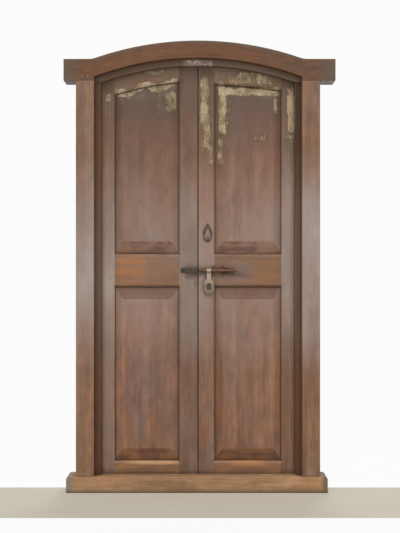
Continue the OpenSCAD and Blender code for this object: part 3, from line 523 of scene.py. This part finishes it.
# Rails
# Three cross members to each leaf: a top rail sawn to the arch, a lock rail at hand height and a low
# bottom rail. They are tenoned between the stiles and chamfered round the panels.
rail_wood = old_timber("rail_timber", "X", brown=(119, 81, 52), pale=(138, 98, 66), dark=(101, 72, 52),
                       grey=(116, 94, 82), red=(132, 78, 42))
bloom_and_sheen(rail_wood, (146, 124, 110), 0.30, 1.12, 0.5)
shadowed_top(rail_wood, (104, 84, 68), 0.75)
# The last two boxes lay light tan strips along the top edge of the bottom rails: painted light where that
# edge catches the light.
stained(rail_wood, ((-0.41, -0.27, 1.05, 1.17, (168, 108, 58), 0.75),
                    (0.28, 0.41, 1.04, 1.16, (152, 100, 58), 0.60),
                    (0.16, 0.26, 1.06, 1.14, (122, 100, 98), 0.65),
                    (-0.34, -0.11, 0.128, 0.150, (190, 146, 98), 0.75),
                    (0.16, 0.32, 0.118, 0.150, (168, 118, 70), 0.55)),
        ease(rail_wood.tree, rail_wood.bands, 0.34, 0.56, 0.35, 1.0))
repainted(rail_wood)
both_leaves((("top_rail", 0.11, 1.11, 1.11, None),
             ("lock_rail", 0.27, 0.86, 0.72, None),
             ("bottom_rail", 0.39, 1.05, 1.03, None)),
            LEAF_WEAR, oiled(rail_wood), "leaf_timber")

# Panels
# Four wide boards, raised by broad bevels that thin to a tongue; they float in the grooves without
# glue. The bevels that face down are darkened, partly by grime and partly by painted shade, and those
# under the lock rail that face up carry a painted shadow of the rail; the fields have a soft waxed sheen.
PANEL_WEAR, PANEL_ROLL = 0.0012, 0.009
SOFT_LEAST, SOFT_MOST = math.radians(4), math.radians(25)


def eased(work):
    """Planes a soft roll where the bevels meet the field and one another."""
    soft = [edge for edge in work.edges
            if edge.is_manifold and edge.is_convex and SOFT_LEAST < edge.calc_face_angle() < SOFT_MOST]
    bmesh.ops.bevel(work, geom=soft, offset=PANEL_ROLL, segments=5, profile=0.5, affect="EDGES",
                    clamp_overlap=False)
    return lambda edge: False


panel_wood = old_timber("panel_timber", "Z", brown=(116, 80, 58), pale=(138, 100, 76), dark=(102, 76, 64),
                        grey=(114, 97, 90), red=(132, 80, 44))
tree = panel_wood.tree
bloom_and_sheen(panel_wood, (150, 132, 122), 0.62, 1.16, 0.62)
shadowed_top(panel_wood, (86, 67, 57), 0.85)
facing = put(tree, "SeparateXYZ", put(tree, "NewGeometry").outputs["True Normal"]).outputs[2]
bevel_patches = cloud(tree, panel_wood.flat, (9.0, 9.0, 26.0), 4.0, 0.6)
soil_and_shade = mingle(tree, ease(tree, bevel_patches, 0.42, 0.60), tone(96, 62, 42), tone(132, 82, 40))
# Bevels that face down darken, partly grime and partly painted shade.
facing_down = ease(tree, facing, -0.03, -0.11)
tinted(panel_wood, times(tree, facing_down, ease(tree, bevel_patches, 0.36, 0.62, 0.85, 0.35)), soil_and_shade)
# Bevels that face up under the lock rail darken too, a painted shadow of the rail.
rail_shadow_share = ease(tree, panel_wood.z, 0.965, 1.028, 0.70, 0.88)
facing_up = times(tree, rail_shadow_share, ease(tree, facing, 0.03, 0.11))
tinted(panel_wood, times(tree, facing_up, ease(tree, panel_wood.z, 1.20, 1.10)), (94, 62, 40))
repainted(panel_wood)
both_leaves((("upper_panel", 0.19, 0.80, 0.87, eased),
             ("lower_panel", 0.33, 0.95, 0.92, eased)),
            PANEL_WEAR, oiled(panel_wood), "panel_timber", bend=math.radians(30), crease=0.0)

# Pegs
# Whittled hardwood pegs that lock the tenons, driven through from the front and trimmed a little
# proud. No two are turned alike, and their ends have taken on the tone of the timber round them.
FRONT, BACK = -1, 1
PEG_PROUD, PEG_TAPER, PEG_TIP = 0.0012, 0.94, 0.72
FASTENER_SHADE = 0.94


def grow_tree(name, *sizes):
    """An empty Geometry Nodes tree that takes points and has one named input for each size."""
    tree = bpy.data.node_groups.new(name, "GeometryNodeTree")
    tree.interface.new_socket("Points", in_out="INPUT", socket_type="NodeSocketGeometry")
    for size in sizes:
        tree.interface.new_socket(size, in_out="INPUT", socket_type="NodeSocketFloat")
    tree.interface.new_socket("Stuff", in_out="INPUT", socket_type="NodeSocketMaterial")
    tree.interface.new_socket("Made", in_out="OUTPUT", socket_type="NodeSocketGeometry")
    return tree, tree.nodes.new("NodeGroupInput").outputs


def part(tree, kind, given=None, **settings):
    """Adds one geometry node; given holds sockets or values for its named inputs."""
    new = tree.nodes.new(kind)
    for key, value in settings.items():
        setattr(new, key, value)
    for key, value in (given or {}).items():
        if isinstance(value, bpy.types.NodeSocket):
            tree.links.new(value, new.inputs[key])
        else:
            new.inputs[key].default_value = value
    return new


def share_of(tree, size, share):
    """A share of a size."""
    return part(tree, "ShaderNodeMath", {0: size, 1: share}, operation="MULTIPLY").outputs[0]


def taper(tree, corners, bottom, top, depth):
    """A cone cut off at the top, which stands on the point."""
    return part(tree, "GeometryNodeMeshCone", {
        "Vertices": corners, "Radius Bottom": bottom, "Radius Top": top, "Depth": depth}).outputs[0]


def lowered(tree, shape, size, share=1.0):
    """Moves a shape down by a share of a size."""
    lift = part(tree, "ShaderNodeCombineXYZ", {"Z": share_of(tree, size, -share)}).outputs[0]
    return part(tree, "GeometryNodeTransform", {"Geometry": shape, "Translation": lift}).outputs[0]


def set_out(tree, sizes, seed, *shapes):
    """One copy of the joined shapes at each point, tipped to face front or back and turned at random."""
    both = part(tree, "GeometryNodeJoinGeometry")
    for shape in shapes:
        tree.links.new(shape, both.inputs[0])
    turn = part(tree, "FunctionNodeRandomValue", {"Seed": seed}, data_type="FLOAT")
    turn.inputs[3].default_value = math.tau
    tilt = part(tree, "ShaderNodeCombineXYZ", {"X": sizes["Tip"], "Y": turn.outputs[1]}).outputs[0]
    placed = part(tree, "GeometryNodeInstanceOnPoints", {
        "Points": sizes["Points"], "Instance": both.outputs[0], "Rotation": tilt}).outputs[0]
    solid = part(tree, "GeometryNodeRealizeInstances", {"Geometry": placed}).outputs[0]
    dressed = part(tree, "GeometryNodeSetMaterial", {
        "Geometry": solid, "Material": sizes["Stuff"]}).outputs[0]
    tree.links.new(dressed, tree.nodes.new("NodeGroupOutput").inputs[0])


def driven(node, tree, stuff, body, slot, facing, **sizes):
    """Fills a fastener node: points at the faces of its solids, grown by the tree into a plain mesh."""
    heads = [(middle.x, middle.y + facing * size.y / 2, middle.z) for middle, size in islands(node)]
    points = bpy.data.meshes.new(node + "_points")
    points.from_pydata(heads, [], [])
    piece = bpy.data.objects.new(node + "_driven", points)
    bpy.context.scene.collection.objects.link(piece)
    grow = piece.modifiers.new("grow", "NODES")
    grow.node_group = tree
    sizes["Tip"] = -facing * math.pi / 2
    for item in tree.interface.items_tree:
        if item.in_out == "INPUT" and item.name in sizes:
            grow[item.identifier] = sizes[item.name]
        elif item.in_out == "INPUT" and item.name == "Stuff":
            grow[item.identifier] = stuff
    looked = piece.evaluated_get(bpy.context.evaluated_depsgraph_get())
    mesh = bpy.data.meshes.new_from_object(looked)
    piece.modifiers.remove(grow)
    piece.data = mesh
    for key, value in (("depth", FASTENER_SHADE), ("board", 0.0)):
        mesh.attributes.new(key, "FLOAT", "FACE").data.foreach_set("value", [value] * len(mesh.polygons))
    mesh.polygons.foreach_set("use_smooth", [True] * len(mesh.polygons))
    mesh.set_sharp_from_angle(angle=math.radians(35))
    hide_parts(node)
    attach(piece, body)


peg_tree, peg = grow_tree("whittled_pegs", "Radius", "Length", "Proud", "Tip")
stem = taper(peg_tree, 9, share_of(peg_tree, peg["Radius"], PEG_TAPER), peg["Radius"], peg["Length"])
end = taper(peg_tree, 9, peg["Radius"], share_of(peg_tree, peg["Radius"], PEG_TIP), peg["Proud"])
set_out(peg_tree, peg, 4, lowered(peg_tree, stem, peg["Length"]), end)
peg_wood = old_timber("peg_timber", "Y", brown=(112, 82, 62), pale=(130, 98, 76), dark=(92, 68, 52),
                      grey=(112, 92, 80), red=(116, 78, 54))
bloom_and_sheen(peg_wood, (158, 144, 136), 0.85, 1.16)
tinted(peg_wood, ease(peg_wood.tree, peg_wood.z, 0.10, 0.08), (158, 122, 88))
peg_finish = oiled(peg_wood, 0.6, 0.8, corner_shade=0.15)
for node, body, radius in (("frame_pegs", "frame", 0.006), ("left_leaf_pegs", "left_leaf", 0.005),
                           ("right_leaf_pegs", "right_leaf", 0.005)):
    length = min(size.y for middle, size in islands(node))
    driven(node, peg_tree, peg_finish, body, "peg_timber", FRONT,
           Radius=radius, Length=length, Proud=PEG_PROUD)

# Hinges
# Six wrought butt hinges, screwed over the back of the frame and the leaves, each with three
# knuckles on a loose pin. The iron has gone brown-black with a bloom of rust.
PLATE_WEAR, PIN_WEAR = 0.0005, 0.0006


def old_iron(name, ground, rust, bare, rusted, polished, darkens_below=None):
    """Forged iron: a ground of scale, clouds of rust and bare rubbed metal on the arrises. An optional
    pair of heights turns the iron darker below the first and leaves it as it is above the second."""
    stuff, tree, flat = blank(name)
    clouds = cloud(tree, flat, (60.0, 60.0, 60.0), 5.0, 0.65)
    pits = cloud(tree, flat, (420.0, 420.0, 420.0), 3.0, 0.6)
    scaled = ease(tree, clouds, 0.62 - rusted * 0.3, 0.74 - rusted * 0.2)
    colour = mingle(tree, scaled, tone(*ground), tone(*rust))
    rub = put(tree, "Attribute", attribute_name="rub").outputs["Fac"]
    bright = sums(tree, "ADD", times(tree, rub, 0.25), clouds)
    colour = mingle(tree, ease(tree, bright, 0.66, 0.86, 0.0, polished), colour, tone(*bare))
    if darkens_below:
        up = put(tree, "SeparateXYZ", flat).outputs[2]
        colour = mingle(tree, ease(tree, up, darkens_below[1], darkens_below[0], 0.0, 0.6), colour, tone(74, 62, 48))
    colour = shaded(tree, colour, ease(tree, pits, 0.3, 0.7, 0.75, 1.12))
    rough = ease(tree, clouds, 0.35, 0.7, 0.42, 0.68)
    height = sums(tree, "ADD", pits, times(tree, clouds, 2.0))
    skin = closed(tree, colour, rough, height, strength=0.6, relief=0.0006)
    skin.inputs["Metallic"].default_value = 0.45
    return stuff


dark_iron = old_iron("dark_iron", ground=(50, 42, 31), rust=(86, 58, 38), bare=(112, 98, 84),
                     rusted=0.35, polished=0.35)
for side in ("left", "right"):
    for height in ("low", "mid", "high"):
        for plate, body in (("jamb_plate", "frame"), ("leaf_plate", side + "_leaf")):
            node = "_".join((side, height, plate))
            fitted(worn(node, PLATE_WEAR), node, dark_iron, body)
    node = side + "_hinge_pins"
    fitted(worn(node, PIN_WEAR), node, dark_iron, "frame")

# Screws
# Slotted countersunk iron screws hold the hinges, the lock and its strike to the timber;
# their heads lie level with the plates and their slots point every way.
CORE_DROP = 0.56
SCREW_HEAD, SCREW_SHANK, SCREW_SINK = 0.0041, 0.0021, 0.0026
SLOT_SHARES = {"X": 2.4, "Y": 0.26, "Z": 0.56}


def core(tree, corners, sizes):
    """The round shank of a screw or a nail, which starts a little below the face of its head."""
    bar = part(tree, "GeometryNodeMeshCylinder", {
        "Vertices": corners, "Radius": sizes["Shank"], "Depth": sizes["Length"]}).outputs[0]
    return lowered(tree, bar, sizes["Length"], CORE_DROP)


screw_tree, screw = grow_tree("slotted_screws", "Head", "Shank", "Length", "Sink", "Tip")
cone = taper(screw_tree, 24, screw["Shank"], screw["Head"], screw["Sink"])
slot_sides = {axis: share_of(screw_tree, screw["Head"], share) for axis, share in SLOT_SHARES.items()}
slot_size = part(screw_tree, "ShaderNodeCombineXYZ", slot_sides).outputs[0]
slot_bar = part(screw_tree, "GeometryNodeMeshCube", {"Size": slot_size}).outputs[0]
slotted = part(screw_tree, "GeometryNodeMeshBoolean",
               {"Mesh 1": lowered(screw_tree, cone, screw["Sink"]), "Mesh 2": slot_bar},
               operation="DIFFERENCE").outputs[0]
set_out(screw_tree, screw, 9, slotted, core(screw_tree, 10, screw))
for node, body, length in (
        ("left_jamb_screws", "frame", 0.026), ("right_jamb_screws", "frame", 0.026),
        ("left_leaf_screws", "left_leaf", 0.026), ("right_leaf_screws", "right_leaf", 0.026),
        ("lock_screws_set", "right_leaf", 0.046), ("strike_screws_set", "left_leaf", 0.026)):
    driven(node, screw_tree, dark_iron, body, "dark_iron", BACK,
           Head=SCREW_HEAD, Shank=SCREW_SHANK, Length=length, Sink=SCREW_SINK)

# Front bolt
# A round wrought bolt that slides in two staple-shaped guides on the right leaf into a box keeper on
# the left one. A long flat hasp with a ring end hangs from it; handling keeps the hasp bright.
worn_iron = old_iron("worn_iron", ground=(146, 130, 108), rust=(110, 88, 66), bare=(190, 176, 150),
                     rusted=0.15, polished=0.7)
hasp_iron = old_iron("hasp_iron", ground=(146, 130, 108), rust=(112, 90, 68), bare=(190, 176, 150),
                     rusted=0.2, polished=0.7, darkens_below=(1.030, 1.075))
rod_iron = old_iron("rod_iron", ground=(82, 56, 40), rust=(104, 66, 44), bare=(132, 108, 90),
                    rusted=0.6, polished=0.4)
for node, body, wear, iron, slot in (
        ("bolt_rod", "bolt_rod", 0.0008, rod_iron, "dark_iron"),
        ("inner_bolt_guide", "right_leaf", 0.0007, rod_iron, "dark_iron"),
        ("outer_bolt_guide", "right_leaf", 0.0007, rod_iron, "dark_iron"),
        ("bolt_keeper", "left_leaf", 0.0009, dark_iron, "dark_iron"),
        ("bolt_hasp", "bolt_hasp", 0.0009, hasp_iron, "worn_iron")):
    fitted(worn(node, wear), node, iron, body)

# Nails
# Hand-forged rose-head nails, each head hammered to five facets; they hold the guides and the keeper
# of the bolt, and smaller ones pin the keyhole plate.
ROSE_FLAT, NAIL_SHANK = 0.22, 0.5
nail_tree, nail = grow_tree("rose_nails", "Head", "Rise", "Shank", "Length", "Tip")
rose = taper(nail_tree, 5, nail["Head"], share_of(nail_tree, nail["Head"], ROSE_FLAT), nail["Rise"])
set_out(nail_tree, nail, 14, lowered(nail_tree, rose, nail["Rise"]), core(nail_tree, 8, nail))
for node, body, head, rise, length in (("bolt_guide_nails", "right_leaf", 0.0036, 0.0018, 0.022),
                                       ("bolt_keeper_nails", "left_leaf", 0.0036, 0.0018, 0.022),
                                       ("keyhole_plate_pins", "right_leaf", 0.0022, 0.0010, 0.016)):
    driven(node, nail_tree, dark_iron, body, "dark_iron", FRONT,
           Head=head, Rise=rise, Shank=head * NAIL_SHANK, Length=length)

# Keyhole
# A thin leaf-shaped plate over the keyhole with a drop cover that swings on a rivet; fingers have
# rubbed the cover to a dull grey.
PLATE_WAIST, PLATE_FULLNESS = 0.44, 0.75
FLANK_LEAST, FLANK_BEND = 0.02, math.radians(60)


def swell(work):
    """Hammers the plate's rim out to a pointed oval, widest near half its height; its holes stay put."""
    low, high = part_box("keyhole_plate")
    middle, height = (low[0] + high[0]) / 2, high[2] - low[2]
    belly = (high[0] - low[0]) / 2 / height
    flanks = [edge for edge in work.edges
              if edge.is_manifold and edge.calc_length() > FLANK_LEAST
              and edge.calc_face_angle() > FLANK_BEND]
    bmesh.ops.subdivide_edges(work, edges=flanks, cuts=9)
    tip = max(work.verts, key=lambda vert: vert.co.z)
    rim, waiting = {tip}, [tip]
    while waiting:
        for face in waiting.pop().link_faces:
            if abs(face.normal.y) < 0.5:
                fresh = [vert for vert in face.verts if vert not in rim]
                rim.update(fresh)
                waiting.extend(fresh)
    for vert in rim:
        share = (vert.co.z - low[2]) / height
        over = max((share - belly) / (1 - belly), 0.0)
        up = PLATE_WAIST * share / belly if share < belly else PLATE_WAIST + (1 - PLATE_WAIST) * over
        vert.co.z = low[2] + height * up
        vert.co.x = middle + (vert.co.x - middle) * (1 + PLATE_FULLNESS * over)
    return lambda edge: False


plate_iron = old_iron("plate_iron", ground=(62, 48, 38), rust=(84, 60, 46), bare=(104, 88, 76),
                      rusted=0.4, polished=0.3)
cover_iron = old_iron("cover_iron", ground=(112, 94, 84), rust=(98, 72, 58), bare=(138, 122, 110),
                      rusted=0.2, polished=0.6)
for node, body, wear, iron, slot, shape in (
        ("keyhole_plate", "right_leaf", 0.0005, plate_iron, "dark_iron", swell),
        ("cover_rivet", "right_leaf", 0.0006, plate_iron, "dark_iron", None),
        ("keyhole_cover", "keyhole_cover", 0.0007, cover_iron, "worn_iron", None)):
    fitted(worn(node, wear, shape=shape), node, iron, body)

# Rim lock
# A plain box lock on the back of the right leaf: a folded case with a square bolt that a leaf spring
# presses down, and a bent strike plate on the other leaf.
for node, body, wear, iron, slot in (
        ("lock_case", "right_leaf", 0.0010, dark_iron, "dark_iron"),
        ("lock_spring", "right_leaf", 0.0003, worn_iron, "worn_iron"),
        ("lock_bolt", "lock_bolt", 0.0006, worn_iron, "worn_iron"),
        ("lock_strike", "left_leaf", 0.0006, dark_iron, "dark_iron")):
    fitted(worn(node, wear), node, iron, body)

# Floor
# A plain pale floor for the door to stand on: a strip of stone colour from just behind the sill to
# nearly half a metre before it, which fades out to the sides, and white beyond it.
FLOOR_FRONT, FLOOR_BACK, FLOOR_REACH, FLOOR_DROP = -0.506, 0.060, 14.0, 0.0005
floor_mesh = bpy.data.meshes.new("floor")
floor_mesh.from_pydata([(side * FLOOR_REACH, end * FLOOR_REACH, -FLOOR_DROP)
                        for side, end in ((-1, -1), (1, -1), (1, 1), (-1, 1))], [], [(0, 1, 2, 3)])
floor = bpy.data.objects.new("floor", floor_mesh)
bpy.context.scene.collection.objects.link(floor)
floor_stuff, tree, flat = blank("floor_stone")
x, y = put(tree, "SeparateXYZ", flat).outputs[:2]
strip = times(tree, ease(tree, y, FLOOR_FRONT - 0.004, FLOOR_FRONT + 0.004),
              ease(tree, y, FLOOR_BACK + 0.01, FLOOR_BACK - 0.01))
strip = times(tree, strip, ease(tree, sums(tree, "ABSOLUTE", x), 2.0, 1.1))
stone = mingle(tree, cloud(tree, flat, (3.0, 14.0, 3.0)), tone(194, 188, 174), tone(204, 198, 184))
matt = put(tree, "BsdfDiffuse", mingle(tree, strip, tone(250, 250, 249), stone))
white = put(tree, "Emission", tone(251, 252, 251), 1.0)
seen = times(tree, put(tree, "LightPath").outputs["Is Camera Ray"], sums(tree, "SUBTRACT", 1.0, strip))
away = put(tree, "VectorMath", flat, operation="LENGTH").outputs[1]
fade = times(tree, seen, ease(tree, away, 0.5, 2.2, 0.90, 1.0))
put(tree, "OutputMaterial", put(tree, "MixShader", fade, matt.outputs[0], white.outputs[0]).outputs[0])
floor_mesh.materials.append(floor_stuff)

# Light
# A plain studio: soft light from high in front, a weaker lamp at eye level, one behind for the back,
# and an even room light; the room itself is white to the eye.


def lamp(name, place, aim, size, power):
    """A square lamp at a place, aimed at a spot; the camera doesn't see it."""
    light = bpy.data.lights.new(name, "AREA")
    light.shape = "SQUARE"
    light.size = size
    light.energy = power
    stand = bpy.data.objects.new(name, light)
    stand.location = place
    stand.rotation_euler = (Vector(aim) - Vector(place)).to_track_quat("-Z", "Y").to_euler()
    stand.visible_camera = False
    bpy.context.scene.collection.objects.link(stand)


sky = bpy.data.lights.new("high_window", "SUN")
sky.energy = 2.05
sky.angle = math.radians(22)
window = bpy.data.objects.new("high_window", sky)
window.rotation_euler = Vector((0.12, 1.0, -1.25)).to_track_quat("-Z", "Y").to_euler()
bpy.context.scene.collection.objects.link(window)
lamp("eye_lamp", (0.6, -5.6, 1.7), (0.0, 0.0, 1.1), 3.0, 72.0)
lamp("back_lamp", (0.8, 4.6, 3.2), (0.0, 0.0, 1.1), 3.0, 110.0)

room = bpy.data.worlds.new("room")
room.use_nodes = True
tree = room.node_tree
tree.nodes.clear()
path = put(tree, "LightPath").outputs
mirrored = sums(tree, "MAXIMUM", path["Is Glossy Ray"], path["Is Transmission Ray"])
plain = sums(tree, "MAXIMUM", path["Is Camera Ray"], mirrored)
air = put(tree, "Background", tone(251, 252, 251), ease(tree, plain, 0.0, 1.0, 0.35, 1.0))
put(tree, "OutputWorld", air.outputs[0])
bpy.context.scene.world = room

# Camera
# Level and square to the door, at breast height, four and a half metres in front of the frame.
# Its lens takes in the whole frame and a little of the floor.
lens = bpy.data.cameras.new("eye")
lens.sensor_fit = "VERTICAL"
lens.sensor_height = 36.0
lens.lens = 60.8
eye = bpy.data.objects.new("eye", lens)
eye.location = (0.010, -4.555, 1.1315)
eye.rotation_euler = (math.pi / 2, 0.0, 0.0)
bpy.context.scene.collection.objects.link(eye)
bpy.context.scene.camera = eye
bpy.context.scene.view_settings.view_transform = "Standard"
